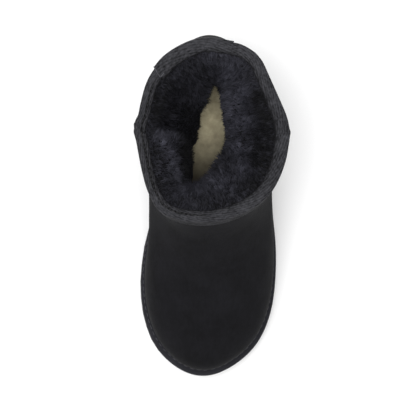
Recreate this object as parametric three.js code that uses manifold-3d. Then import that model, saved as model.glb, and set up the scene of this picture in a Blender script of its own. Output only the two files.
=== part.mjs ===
import * as THREE from 'three';
import { mergeVertices } from 'three/addons/utils/BufferGeometryUtils.js';
import Module from 'manifold-3d';

const wasm = await Module();
wasm.setup();

// Sheepskin ankle boot for the left foot.
// Millimetres, +Z up, toe towards -Y, outer side of the foot towards +X.

// Last and outline
const length = 268; // back of the heel to the rim at the toe
const ballWidth = 108.4; // rim across the ball
const heelWidth = 75; // rim across the heel
const height = 154.5; // floor to the suede's top edge at the back
const collarLength = 132.5; // suede's top edge, back to front
const collarWidth = 109.6; // suede's top edge, side to side
const collarDrop = 5; // the top edge is this much lower at the front
const heelOverhang = 11.6; // how far the heel stands behind the collar
const heelTuck = 3; // how far the sole's back lies in front of the heel's fullest point
const toeRim = 6.5; // rim showing in front of the upper
const sideRim = 3.8; // rim showing beside the upper
const heelRim = 2; // rim showing behind the upper
const ankleShift = 1.8; // how far the ankle stands towards the inner side

// Sole
const soleHeel = 24; // outsole and midsole together at the heel
const soleBall = 17.5; // and at the ball
const midsoleThickness = 8;
const toeSpring = 6;
const archRise = 2;
const heelRoll = 2.5;
const lugDepth = 3;
const lugGap = 3.6; // width of a groove between two lugs
const lugPitch = 12.4;
const lugWave = 2.2; // how far a groove swings to and fro
const sideStep = 0.9; // height of the rib that runs round the outsole's side
const soleSideIn = 1.0; // outsole's side, drawn in from the rim's widest line
const soleRecessIn = 1.2; // and above the rib
const soleEdgeIn = 2.6; // its lower edge is chamfered this far in
const soleEdgeRise = 2.4; // and this far up
const rimLowIn = 1.6; // midsole's lower corner, drawn in
const rimLowerIn = 0.35;
const rimUpperIn = 0.5;
const rimTopIn = 1.8; // and its upper corner

// Places along the sole, as shares from heel to toe
const heelRollEnd = 0.09;
const thinning = { from: 0.26, to: 0.62 }; // the sole thins from heel to ball
const widening = { from: 0.25, to: 0.65 }; // and widens
const arch = { from: 0.32, full: 0.43, falls: 0.5, to: 0.6 };
const springStart = 0.76;
const heelLugs = { from: 0.06, to: 0.3 };
const foreLugs = { from: 0.58, to: 0.955 };
const grooveReach = 0.6; // half length of a groove, in ball widths
const grooveWaves = 2.5;
const grooveSteps = 8;

// Sheepskin, fleece, footbed and binding
const wall = 2;
const seamLap = 1.3; // step where the front panel lies over the back panel
const insoleThickness = 5;
const insoleRound = 0.9; // how far its top edge is drawn in
const pileShort = 3.3; // fleece pressed inside the binding
const pileDeep = 18; // fleece at the ankle
const lockDepth = 2.6; // relief of the pile's locks
const lockLength = 9; // how far a lock stands out of the pile
const lockRadius = 4.2;
const lockLean = 0.7; // how far a lock leans down for each step inwards
const toeShare = 0.6; // depth of the pile in the toe, as a share of pileDeep
const floorShare = 0.9; // and along the insole
const crowdedMore = 0.3; // how much deeper it stands at the front of the ankle
const pileFolds = 0.72; // level from which the pile thins towards the binding
const pileFolded = 0.94; // level above which it is pressed inside the binding
const floorLevel = 0.3; // level up to which the pile is as thin as along the insole
const toePile = { from: 0.55, to: 0.95, level: 0.35, above: 0.6 }; // bounds of the toe's thin pile
const crowded = { from: 0.24, full: 0.36, falls: 0.48, to: 0.62 }; // turns where the pile stands deeper
const lockCount = 17;
const lockSides = 5;
const lockRows = [
  { level: 0.58, shift: 0 },
  { level: 0.67, shift: 0.5 },
  { level: 0.76, shift: 0 },
];
const bindingOuterLeg = 10;
const bindingInnerLeg = 4.6;
const bindingThickness = 1.2;
const bindingLap = 1.2; // second layer where the tape's end is lapped
const bindingBevel = 0.9; // share of its thickness taken off the two outer corners
const lapStart = 0.862; // the lap, in turns from the heel round the outer side
const lapEnd = 0.9;
const clearance = 0.3;
const insoleGap = 0.6; // the footbed is cut a little small

// Mesh fineness
const stationsFront = 14; // on each side, from the seam to the toe
const stationsBack = 11; // on each side, from the heel to the seam
const soleStations = 28; // on each side of the sole
const upperRows = 14;

const heelY = length / 2;
const toeY = -length / 2;
const soleBackY = heelY - heelTuck;
const upperToeY = toeY + toeRim;
const featherBackY = soleBackY - heelRim;
const collarBackY = heelY - heelOverhang;
const collarFrontY = collarBackY - collarLength;

// Outline of the sole, heel to toe. centre: shift towards the outer side, in ball widths.
// width: fullness, in local widths, where 0.5 all along would be an ellipse.
const soleOutline = [
  { at: 0.00, centre: -0.030, width: 0.765 },
  { at: 0.06, centre: -0.030, width: 0.765 },
  { at: 0.14, centre: -0.027, width: 0.712 },
  { at: 0.27, centre: 0.006, width: 0.562 },
  { at: 0.38, centre: 0.040, width: 0.490 },
  { at: 0.46, centre: 0.050, width: 0.475 },
  { at: 0.55, centre: 0.025, width: 0.487 },
  { at: 0.63, centre: 0.010, width: 0.511 },
  { at: 0.70, centre: -0.002, width: 0.547 },
  { at: 0.84, centre: -0.014, width: 0.616 },
  { at: 0.93, centre: -0.027, width: 0.650 },
  { at: 1.00, centre: -0.042, width: 0.610 },
];

// Outline of the collar, back to front, in collar widths.
const collarOutline = [
  { at: 0.00, centre: -0.055, width: 0.430 },
  { at: 0.06, centre: -0.033, width: 0.525 },
  { at: 0.19, centre: -0.044, width: 0.485 },
  { at: 0.32, centre: -0.036, width: 0.470 },
  { at: 0.42, centre: -0.026, width: 0.484 },
  { at: 0.50, centre: -0.024, width: 0.501 },
  { at: 0.64, centre: -0.019, width: 0.501 },
  { at: 0.77, centre: -0.028, width: 0.521 },
  { at: 0.88, centre: -0.045, width: 0.571 },
  { at: 0.95, centre: -0.075, width: 0.637 },
  { at: 1.00, centre: -0.095, width: 0.700 },
];

// Sections of the upper, feather line to collar.
// back, front: height, as a share of the way from the feather line to the top edge.
// heel: from the feather's back (0) to the heel's fullest point (1).
// lean: from there to the collar's back (1).
// toe: from the collar's front (0) to the toe (1). width: share of the width between ball and collar.
// foot, collar: how much of the sole's and of the collar's own outline the section has.
// seam: where the side seam crosses, as a share from back to front.
const sectionColumns = ['name', 'back', 'front', 'heel', 'lean', 'toe', 'width', 'foot', 'collar', 'seam'];
const sections = [
  ['feather', 0.00, 0.000, 0.0, 0.00, 1.000, 1.000, 1.00, 0.00, 0.330],
  ['welt', 0.10, 0.095, 0.7, 0.00, 1.010, 1.018, 0.97, 0.00, 0.332],
  ['toeWall', 0.22, 0.190, 1.0, 0.00, 0.972, 1.005, 0.84, 0.00, 0.337],
  ['toeBox', 0.33, 0.275, 1.0, 0.03, 0.835, 0.980, 0.50, 0.00, 0.357],
  ['vamp', 0.44, 0.360, 1.0, 0.10, 0.590, 0.942, 0.20, 0.00, 0.397],
  ['instep', 0.55, 0.475, 1.0, 0.24, 0.350, 0.918, 0.05, 0.05, 0.443],
  ['throat', 0.66, 0.625, 1.0, 0.42, 0.175, 0.925, 0.00, 0.15, 0.484],
  ['ankle', 0.77, 0.765, 1.0, 0.62, 0.088, 0.945, 0.00, 0.40, 0.497],
  ['shaft', 0.88, 0.885, 1.0, 0.82, 0.038, 0.970, 0.00, 0.75, 0.500],
  ['collar', 1.00, 1.000, 1.0, 1.00, 0.000, 1.000, 0.00, 1.00, 0.500],
].map((row) => Object.fromEntries(row.map((value, k) => [sectionColumns[k], value])));

const mix = (a, b, share) => a + (b - a) * share;
const clamp = (value) => Math.min(1, Math.max(0, value));
const ease = (start, end, value) => {
  const share = clamp((value - start) / (end - start));
  return share * share * (3 - 2 * share);
};

// Smooth curve through four neighbouring values, at a share between the middle two.
function between(before, from, to, after, share) {
  const bend = 2 * before - 5 * from + 4 * to - after;
  const twist = 3 * (from - to) + after - before;
  return from + 0.5 * share * (to - before + share * (bend + share * twist));
}

// One column of a table at a place between its rows.
function column(rows, name, index) {
  const row = Math.min(rows.length - 2, Math.max(0, Math.floor(index)));
  const pick = (k) => rows[Math.min(rows.length - 1, Math.max(0, k))][name];
  return between(pick(row - 1), pick(row), pick(row + 1), pick(row + 2), index - row);
}

// Row index of a share in a table whose rows say where they are.
function rowIndex(rows, share) {
  let row = 0;
  while (row < rows.length - 2 && rows[row + 1].at < share) row += 1;
  return row + (share - rows[row].at) / (rows[row + 1].at - rows[row].at);
}

// Heights of the sole along the foot.
const footShare = (y) => clamp((heelY - y) / length);

function soleBottom(y) {
  const share = footShare(y);
  const spring = clamp((share - springStart) / (1 - springStart));
  const roll = clamp((heelRollEnd - share) / heelRollEnd);
  const arched = ease(arch.from, arch.full, share) * (1 - ease(arch.falls, arch.to, share));
  return toeSpring * spring * spring + heelRoll * roll * roll + archRise * arched;
}

function soleTop(y) {
  const share = footShare(y);
  const spring = clamp((share - springStart) / (1 - springStart));
  return mix(soleHeel, soleBall, ease(thinning.from, thinning.to, share)) + toeSpring * spring * spring;
}

const featherZ = (y) => soleTop(y) + clearance;

// Fullness and shift of the sole's outline at a share from back to front.
function soleForm(share) {
  const index = rowIndex(soleOutline, share);
  const local = mix(heelWidth, ballWidth, ease(widening.from, widening.to, share));
  return {
    centre: column(soleOutline, 'centre', index) * ballWidth,
    full: column(soleOutline, 'width', index) * local,
  };
}

function collarForm(share) {
  const index = rowIndex(collarOutline, share);
  return {
    centre: column(collarOutline, 'centre', index) * collarWidth,
    full: column(collarOutline, 'width', index) * collarWidth,
  };
}

// A place round the boot is a turn: 0 at the heel, 0.5 at the toe, up to 0.5 on the outer side.
const sideOf = (turn) => (turn - Math.floor(turn) <= 0.5 ? 1 : -1);
const turnShare = (turn) => (1 - Math.cos(turn * Math.PI * 2)) / 2;

// Sole outline, drawn in by an inset.
function solePoint(turn, inset) {
  const place = (t) => {
    const share = turnShare(t);
    const form = soleForm(share);
    const round = Math.sin(t * Math.PI * 2);
    return new THREE.Vector2(form.centre + form.full * round, mix(soleBackY, toeY, share));
  };
  const step = 0.001;
  const along = place(turn + step).sub(place(turn - step)).normalize();
  return place(turn).add(new THREE.Vector2(along.y, -along.x).multiplyScalar(inset));
}

// Outer surface of the upper: turn round the boot, level from feather line (0) to collar (1).
const seamShare = sections[sections.length - 1].seam;

function upperPoint(turn, level) {
  const index = level * (sections.length - 1);
  const get = (name) => column(sections, name, index);
  const even = turnShare(turn);
  const bias = (get('seam') - seamShare) / (seamShare * (1 - seamShare));
  const share = even + bias * even * (1 - even);
  const sole = soleForm(share);
  const collar = collarForm(share);
  const footPart = get('foot');
  const collarPart = get('collar');
  const plainPart = 1 - footPart - collarPart;
  const wide = mix(ballWidth - 2 * sideRim, collarWidth, get('front'));
  const insideRim = sole.full * (1 - 2 * sideRim / ballWidth);
  const full = footPart * insideRim + collarPart * collar.full + plainPart * wide / 2;
  const centre = footPart * sole.centre + collarPart * collar.centre - plainPart * ankleShift;
  const round = 2 * Math.sqrt(Math.max(0, share * (1 - share))) * sideOf(turn);
  const backY = mix(mix(featherBackY, heelY, get('heel')), collarBackY, get('lean'));
  const y = mix(backY, mix(collarFrontY, upperToeY, get('toe')), share);
  const topZ = height - collarDrop * share;
  const z = mix(featherZ(y), topZ, mix(get('back'), get('front'), share));
  return new THREE.Vector3(centre + full * get('width') * round, y, z);
}

// Outward direction, and the way up along the wall, at a place on the upper.
function upperFrame(turn, level) {
  const step = 0.0015;
  const low = Math.max(0, level - step);
  const high = Math.min(1, level + step);
  const round = upperPoint(turn + step, level).sub(upperPoint(turn - step, level));
  const up = upperPoint(turn, high).sub(upperPoint(turn, low)).normalize();
  return { out: up.clone().cross(round).normalize(), up };
}

// The side seams, in turns, and the raised edge of the front panel in front of each.
const seamTurn = Math.acos(1 - 2 * seamShare) / (Math.PI * 2);
const seamEdge = 0.0012;
const seamRamp = 0.022;

const seamDistance = (turn) => Math.min(turn, 1 - turn) - seamTurn;

function seamRise(turn) {
  const ahead = seamDistance(turn);
  return ahead < 0 ? 0 : seamLap * (1 - ease(0, seamRamp, ahead));
}

function offsetPoint(turn, level, offset) {
  return upperPoint(turn, level).addScaledVector(upperFrame(turn, level).out, offset);
}

// Level at which the wall stands a given height above the sole.
function levelAbove(turn, above) {
  let low = 0;
  let high = 0.5;
  for (let pass = 0; pass < 24; pass += 1) {
    const middle = (low + high) / 2;
    const point = upperPoint(turn, middle);
    if (point.z - soleTop(point.y) < above) low = middle;
    else high = middle;
  }
  return (low + high) / 2;
}

// Places round the boot, closer together at each side of a seam.
function seamedTurns() {
  const half = [];
  for (let i = 0; i < stationsBack; i += 1) half.push((seamTurn - seamEdge) * i / stationsBack);
  half.push(seamTurn - seamEdge, seamTurn + seamEdge, seamTurn + seamRamp);
  const start = seamTurn + seamRamp;
  for (let i = 1; i < stationsFront; i += 1) half.push(mix(start, 0.5, i / stationsFront));
  return [...half, 0.5, ...half.slice(1).reverse().map((turn) => 1 - turn)];
}

const evenTurns = (perSide) => Array.from({ length: perSide * 2 }, (_, i) => i / (perSide * 2));

// Faces between two neighbouring rings, each four-sided patch split along its shorter diagonal.
function band(points, count, from, to, indices) {
  for (let i = 0; i < count; i += 1) {
    const j = (i + 1) % count;
    const [a, b, c, d] = [from + i, from + j, to + j, to + i];
    const slant = points[a].distanceTo(points[c]) <= points[b].distanceTo(points[d]);
    indices.push(...(slant ? [a, c, b, a, d, c] : [a, d, b, b, d, c]));
  }
}

// Closed solid from rings of points: each ring joins the next, and the last joins the first.
function ringSolid(rings) {
  const count = rings[0].length;
  const points = rings.flat();
  const indices = [];
  rings.forEach((_, r) => band(points, count, r * count, ((r + 1) % rings.length) * count, indices));
  return meshData(points.flatMap((point) => [point.x, point.y, point.z]), indices);
}

// Closed solid from stacked rings with a lid across the first and the last.
function stackSolid(rings) {
  const count = rings[0].length;
  const points = rings.flat();
  const indices = [];
  for (let r = 0; r < rings.length - 1; r += 1) band(points, count, r * count, (r + 1) * count, indices);
  const lid = (base, flip) => {
    for (let i = 0; i < count / 2; i += 1) {
      const quad = [i, i + 1, (count - i - 1) % count, (count - i) % count].map((k) => base + k);
      const faces = i === 0 ? [[0, 1, 2]] : i === count / 2 - 1 ? [[0, 1, 3]] : [[0, 1, 2], [0, 2, 3]];
      for (const face of faces) {
        const [a, b, c] = face.map((k) => quad[k]);
        indices.push(...(flip ? [a, b, c] : [a, c, b]));
      }
    }
  };
  lid(0, true);
  lid((rings.length - 1) * count, false);
  return meshData(points.flatMap((point) => [point.x, point.y, point.z]), indices);
}

function meshData(positions, indices) {
  const geometry = new THREE.BufferGeometry();
  geometry.setAttribute('position', new THREE.Float32BufferAttribute(positions, 3));
  geometry.setIndex(indices);
  return geometry;
}

function toManifold(geometry) {
  const bare = geometry.clone();
  bare.deleteAttribute('normal');
  bare.deleteAttribute('uv');
  const merged = mergeVertices(bare, 1e-4);
  const mesh = new wasm.Mesh({
    numProp: 3,
    vertProperties: new Float32Array(merged.attributes.position.array),
    triVerts: new Uint32Array(merged.index.array),
  });
  return new wasm.Manifold(mesh);
}

function fromManifold(solid) {
  const mesh = solid.getMesh();
  return meshData(Array.from(mesh.vertProperties), Array.from(mesh.triVerts));
}

// Outsole: stacked outlines with a ribbed side, then grooves that leave the lugs.
function outsole() {
  const turns = evenTurns(soleStations);
  const rows = [
    { inset: soleEdgeIn, bottom: 1, rise: 0 },
    { inset: soleSideIn, bottom: 1, rise: soleEdgeRise },
    { inset: soleSideIn - sideStep, bottom: 0.52, rise: 0 },
    { inset: soleSideIn - sideStep, bottom: 0.3, rise: 0 },
    { inset: soleRecessIn, bottom: 0.2, rise: 0 },
    { inset: soleRecessIn, bottom: 0, rise: 0 },
  ];
  const topOf = (y) => soleTop(y) - midsoleThickness - clearance;
  const rings = rows.map((row) => turns.map((turn) => {
    const flat = solePoint(turn, row.inset);
    const z = mix(topOf(flat.y), soleBottom(flat.y), row.bottom) + row.rise;
    return new THREE.Vector3(flat.x, flat.y, z);
  }));
  let solid = toManifold(stackSolid(rings));
  for (const y of grooveRows()) solid = solid.subtract(toManifold(groove(y)));
  return fromManifold(solid);
}

// Where the grooves cross the sole: the forefoot and the heel, with the waist left smooth.
function grooveRows() {
  const rows = [];
  for (const { from, to } of [foreLugs, heelLugs]) {
    const last = mix(heelY, toeY, to);
    for (let y = mix(heelY, toeY, from); y > last; y -= lugPitch) rows.push(y);
  }
  return rows;
}

// A wavy bar that runs right across the sole.
function groove(y) {
  const reach = ballWidth * grooveReach;
  const edge = (shift) => Array.from({ length: grooveSteps + 1 }, (_, i) => {
    const x = mix(-reach, reach, i / grooveSteps);
    return new THREE.Vector2(x, shift + lugWave * Math.sin(grooveWaves * Math.PI * x / reach));
  });
  const shape = new THREE.Shape([...edge(-lugGap / 2), ...edge(lugGap / 2).reverse()]);
  const depth = 2 * lugDepth;
  const bar = new THREE.ExtrudeGeometry(shape, { depth, bevelEnabled: false });
  bar.translate(0, y, soleBottom(y) - depth + lugDepth);
  return bar;
}

// Midsole: the wrapped platform under the upper, its edge rounded.
function midsole() {
  const turns = evenTurns(soleStations);
  const rows = [
    { inset: rimLowIn, share: 0 },
    { inset: rimLowerIn, share: 0.16 },
    { inset: 0, share: 0.5 },
    { inset: rimUpperIn, share: 0.86 },
    { inset: rimTopIn, share: 1 },
  ];
  return stackSolid(rows.map((row) => turns.map((turn) => {
    const flat = solePoint(turn, row.inset);
    return new THREE.Vector3(flat.x, flat.y, soleTop(flat.y) - midsoleThickness * (1 - row.share));
  })));
}

// Insole: the footbed, fitted inside the upper's wall.
function insole() {
  const turns = seamedTurns();
  const rows = [
    { share: 0, draw: 0 },
    { share: 0.8, draw: 0 },
    { share: 1, draw: insoleRound },
  ];
  return stackSolid(rows.map((row) => turns.map((turn) => {
    const above = clearance + insoleThickness * row.share;
    const point = offsetPoint(turn, levelAbove(turn, above), -wall - insoleGap - row.draw);
    return new THREE.Vector3(point.x, point.y, soleTop(point.y) + above);
  })));
}

// Upper: one wall of sheepskin with the front panel's edge raised along both seams.
const upperLevels = Array.from({ length: upperRows }, (_, row) => pileFolded * row / (upperRows - 1));
upperLevels.push(1);

function upper() {
  const turns = seamedTurns();
  const outer = upperLevels.map((level) => (
    turns.map((turn) => offsetPoint(turn, level, seamRise(turn)))
  ));
  const inner = upperLevels.map((level) => turns.map((turn) => offsetPoint(turn, level, -wall)));
  return ringSolid([...outer, ...inner.reverse()]);
}

// Depth of the pile: deepest round the ankle, most of all at the front of the outer side,
// thin in the toe and inside the binding.
function pileDepth(turn, level) {
  const inToe = ease(toePile.from, toePile.to, turnShare(turn));
  const toeward = inToe * (1 - ease(toePile.level, toePile.above, level));
  const standing = ease(crowded.from, crowded.full, turn) * (1 - ease(crowded.falls, crowded.to, turn));
  const deep = mix(pileDeep * (1 + crowdedMore * standing), pileDeep * toeShare, toeward);
  const low = mix(deep * floorShare, deep, ease(0, floorLevel, level));
  return mix(low, pileShort, ease(pileFolds, pileFolded, level));
}

// Fleece: the lining, on top of the insole and inside the wall, with staggered locks.
function fleece() {
  const turns = seamedTurns();
  const floor = 2 * clearance + insoleThickness;
  const start = turns.map((turn) => levelAbove(turn, floor));
  const levels = upperLevels.filter((level) => level === 0 || level > Math.max(...start));
  const levelAt = (i, row) => (row === 0 ? start[i] : levels[row]);
  const backing = levels.map((_, row) => turns.map((turn, i) => {
    const point = offsetPoint(turn, levelAt(i, row), -wall - clearance);
    return row === 0 ? point.setZ(soleTop(point.y) + floor) : point;
  }));
  const pile = levels.map((_, row) => turns.map((turn, i) => {
    const level = levelAt(i, row);
    const plain = level >= pileFolded || Math.abs(seamDistance(turn)) < 2 * seamEdge;
    const raised = plain || (i + row) % 2 === 0 ? 0 : lockDepth;
    const point = offsetPoint(turn, level, -wall - clearance - pileDepth(turn, level) - raised);
    return row === 0 ? point.setZ(soleTop(point.y) + floor) : point;
  }));
  let solid = toManifold(ringSolid([...backing, ...pile.reverse()]));
  for (const lock of locks()) solid = solid.add(toManifold(lock));
  return fromManifold(solid);
}

// Tapered locks that stand out of the pile round the mouth and lean down into the boot.
function locks() {
  return lockRows.flatMap(({ level, shift }) => Array.from({ length: lockCount }, (_, i) => {
    const turn = (i + shift) / lockCount;
    const { out, up } = upperFrame(turn, level);
    const root = offsetPoint(turn, level, -wall - clearance - pileDepth(turn, level) + lockRadius / 2);
    const aim = out.clone().multiplyScalar(-1).addScaledVector(up, -lockLean).normalize();
    const reach = lockLength + lockRadius / 2;
    const cone = new THREE.ConeGeometry(lockRadius, reach, lockSides, 1);
    cone.translate(0, reach / 2, 0);
    cone.applyQuaternion(new THREE.Quaternion().setFromUnitVectors(new THREE.Vector3(0, 1, 0), aim));
    return cone.translate(root.x, root.y, root.z);
  }));
}

// Binding: a folded tape over the top edges of wall and fleece, with its end lapped over its start.
function binding() {
  const turns = [...seamedTurns(), lapStart - seamEdge, lapEnd + seamEdge];
  turns.sort((a, b) => a - b);
  const inside = wall + clearance + pileShort + clearance;
  const slices = turns.map((turn) => {
    const edge = upperPoint(turn, 1);
    const { out, up } = upperFrame(turn, 1);
    const lapped = turn > lapStart && turn < lapEnd ? bindingLap : 0;
    const near = seamRise(turn) + clearance;
    const far = near + bindingThickness + lapped;
    const top = clearance + bindingThickness + lapped;
    const bevel = bindingBevel * bindingThickness;
    const section = [
      [far, -bindingOuterLeg],
      [far, top - bevel],
      [far - bevel, top],
      [-inside, top],
      [-inside - bindingThickness, top - bevel],
      [-inside - bindingThickness, -bindingInnerLeg],
      [-inside, -bindingInnerLeg],
      [-inside, clearance],
      [near, clearance],
      [near, -bindingOuterLeg],
    ];
    return section.map(([across, along]) => (
      edge.clone().addScaledVector(out, across).addScaledVector(up, along)
    ));
  });
  return ringSolid(slices[0].map((_, corner) => slices.map((slice) => slice[corner])));
}

const boot = new THREE.Group();

function add(name, geometry, colour, roughness) {
  geometry.computeVertexNormals();
  const material = new THREE.MeshStandardMaterial({ color: colour, roughness, metalness: 0 });
  const mesh = new THREE.Mesh(geometry, material);
  mesh.name = name;
  boot.add(mesh);
}

add('outsole', outsole(), 0x1d1d20, 0.7);
add('midsole', midsole(), 0x2b2b30, 0.85);
add('insole', insole(), 0xb3a98c, 0.95);
add('upper', upper(), 0x232325, 0.95);
add('fleece', fleece(), 0x14151c, 1);
add('collar_binding', binding(), 0x38383e, 0.8);

// The origin lies on the floor, under the middle of the boot's box.
const box = new THREE.Box3().setFromObject(boot);
const middle = box.getCenter(new THREE.Vector3());
boot.position.set(-middle.x, -middle.y, -box.min.z);

export default boot;
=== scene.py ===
import functools
import math

import bpy
import numpy as np
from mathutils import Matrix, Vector
from mathutils.bvhtree import BVHTree


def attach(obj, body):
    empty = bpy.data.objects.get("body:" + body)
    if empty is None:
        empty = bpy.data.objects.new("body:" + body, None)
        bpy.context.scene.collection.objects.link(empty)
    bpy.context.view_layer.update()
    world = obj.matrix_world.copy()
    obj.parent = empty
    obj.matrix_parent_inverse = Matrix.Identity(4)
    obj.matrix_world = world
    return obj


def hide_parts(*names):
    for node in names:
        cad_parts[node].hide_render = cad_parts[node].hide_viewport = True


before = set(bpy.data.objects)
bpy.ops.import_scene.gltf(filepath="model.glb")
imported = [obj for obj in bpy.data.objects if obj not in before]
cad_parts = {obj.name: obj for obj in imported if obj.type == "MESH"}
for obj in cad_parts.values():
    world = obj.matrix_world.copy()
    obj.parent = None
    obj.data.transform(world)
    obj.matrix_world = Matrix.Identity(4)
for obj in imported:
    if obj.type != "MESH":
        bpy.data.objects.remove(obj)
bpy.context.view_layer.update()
mm = 0.001
up = np.array([0, 0, 1.0])
rng = np.random.default_rng(38)

# Left sheepskin ankle boot: toe towards -Y, outer side of the foot towards +X, floor at z = 0.


# Small helpers
def activate(piece):
    bpy.ops.object.select_all(action="DESELECT")
    piece.select_set(True)
    bpy.context.view_layer.objects.active = piece


# Edit mode steps on the whole of a piece, each with its settings
def editMesh(piece, **steps):
    activate(piece)
    bpy.ops.object.mode_set(mode="EDIT")
    bpy.ops.mesh.select_all(action="SELECT")
    for step, settings in steps.items():
        getattr(bpy.ops.mesh, step)(**settings)
    bpy.ops.object.mode_set(mode="OBJECT")


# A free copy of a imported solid, with its loose triangles joined up
def copyOfNode(node, name, asQuads=True):
    piece = bpy.data.objects.new(name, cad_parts[node].data.copy())
    bpy.context.scene.collection.objects.link(piece)
    piece.data.materials.clear()
    steps = {"remove_doubles": {"threshold": 0.02 * mm}}
    if asQuads:
        wide = math.radians(70)
        steps["tris_convert_to_quads"] = {"face_threshold": wide, "shape_threshold": wide}
    editMesh(piece, **steps)
    return piece


# Edges sharper than an angle keep their line when the piece is subdivided
def creaseSharpEdges(piece, angle):
    activate(piece)
    bpy.ops.object.mode_set(mode="EDIT")
    bpy.ops.mesh.select_mode(type="EDGE")
    bpy.ops.mesh.select_all(action="DESELECT")
    bpy.ops.mesh.edges_select_sharp(sharpness=math.radians(angle))
    bpy.ops.transform.edge_crease(value=1)
    bpy.ops.mesh.select_all(action="DESELECT")
    bpy.ops.object.mode_set(mode="OBJECT")


def applyModifier(piece, kind, **settings):
    activate(piece)
    modifier = piece.modifiers.new(kind.lower(), kind)
    for key, value in settings.items():
        setattr(modifier, key, value)
    bpy.ops.object.modifier_apply(modifier=modifier.name)


# A piece's points and the normals there
def readShape(piece):
    points, normals = np.empty((2, len(piece.data.vertices) * 3))
    piece.data.vertices.foreach_get("co", points)
    piece.data.vertex_normals.foreach_get("vector", normals)
    return points.reshape(-1, 3), normals.reshape(-1, 3)


def writePoints(piece, points):
    piece.data.vertices.foreach_set("co", points.ravel())
    piece.data.update()


def meshPiece(name, points, faces, uvs=None):
    mesh = bpy.data.meshes.new(name)
    mesh.from_pydata(np.asarray(points).tolist(), [], faces)
    if uvs is not None:
        corners = np.empty(len(mesh.loops), dtype=int)
        mesh.loops.foreach_get("vertex_index", corners)
        mesh.uv_layers.new(name="along").data.foreach_set("uv", np.asarray(uvs)[corners].ravel())
    piece = bpy.data.objects.new(name, mesh)
    bpy.context.scene.collection.objects.link(piece)
    return piece


# Shades a piece smooth up to an angle and gives it its material and its place in the frame
def keepPiece(piece, angle, material, node=None):
    activate(piece)
    bpy.ops.object.shade_smooth_by_angle(angle=math.radians(angle))
    piece.data.materials.clear()
    piece.data.materials.append(material)
    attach(piece, "root")
    if node:
        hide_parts(node)
    return piece


def treeOf(piece):
    mesh = piece.data
    return BVHTree.FromPolygons([v.co[:] for v in mesh.vertices], [p.vertices[:] for p in mesh.polygons])


def easeIn(low, high, value):
    share = np.clip((value - low) / (high - low), 0, 1)
    return share * share * (3 - 2 * share)


def unit(rows):
    return rows / (np.linalg.norm(rows, axis=-1)[..., None] + 1e-12)


# Each row drawn towards its two neighbours, round a closed loop
def smoothLoop(loop, passes):
    for _ in range(passes):
        loop = 0.25 * np.roll(loop, 1, axis=0) + 0.5 * loop + 0.25 * np.roll(loop, -1, axis=0)
    return loop


# The same along an open run, changed in place, whose ends stay
def smoothRun(run, passes):
    for _ in range(passes):
        run[1:-1] = 0.25 * run[:-2] + 0.5 * run[1:-1] + 0.25 * run[2:]
    return run


# Slow unevenness between -1 and 1, its waves about this size
def slowWave(points, size, seed):
    draw = np.random.default_rng(seed)
    total = np.zeros(len(points))
    for _ in range(7):
        way = draw.normal(size=3)
        way /= np.linalg.norm(way) * size * draw.uniform(0.6, 1.5)
        total += np.sin(points @ way * 2 * math.pi + draw.uniform(0, 6.3))
    return total / 7


# Materials
def hexColour(code):
    channels = [int(code[i:i + 2], 16) / 255 for i in (1, 3, 5)]
    linear = [c / 12.92 if c <= 0.04045 else ((c + 0.055) / 1.055) ** 2.4 for c in channels]
    return (*linear, 1)


# Sets a node's value: a socket is linked, a node stands for its first output and a hex code for its colour
def setOn(node, key, value):
    if isinstance(value, bpy.types.Node):
        value = value.outputs[0]
    if isinstance(value, bpy.types.NodeSocket):
        node.id_data.links.new(value, node.inputs[key])
    elif isinstance(key, str) and hasattr(node, key):
        setattr(node, key, value)
    else:
        node.inputs[key].default_value = hexColour(value) if isinstance(value, str) else value


def addNode(tree, kind, settings=()):
    node = tree.nodes.new("ShaderNode" + kind)
    for key, value in dict(settings).items():
        setOn(node, key, value)
    return node


# A material, its shader and what adds a node to it
def newMaterial(name, **shaderValues):
    material = bpy.data.materials.new(name)
    material.use_nodes = True
    shader = material.node_tree.nodes["Principled BSDF"]
    for key, value in shaderValues.items():
        setOn(shader, key.replace("_", " "), value)
    return material, shader, functools.partial(addNode, material.node_tree)


# Two tones mixed by a pattern
def paint(add, shader, dark, light, factor):
    setOn(shader, "Base Color", add("Mix", {"data_type": "RGBA", 0: factor, 6: dark, 7: light}).outputs[2])


def bumpFrom(add, shader, height, strength, distance, before=None):
    settings = {"Height": height, "Strength": strength, "Distance": distance}
    if before:
        settings["Normal"] = before
    bump = add("Bump", settings)
    setOn(shader, "Normal", bump)
    return bump


# Brushed sheepskin suede: a soft nap that lies in patches, so the black goes a little lighter here and there
suedeLook = {
    "dark": "#0e0e10", "light": "#161619", "patch": 22 * mm, "patchShare": 0.6,
    "grain": 2.6 * mm, "grainShare": 0.45, "stroke": (1, 0.35, 0.6),  # drawn out the way it was brushed
    "nap": 0.9 * mm,  # coarser than the real nap, to show at all
    "toneFrom": 0.38, "toneTo": 0.68,
}


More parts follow.
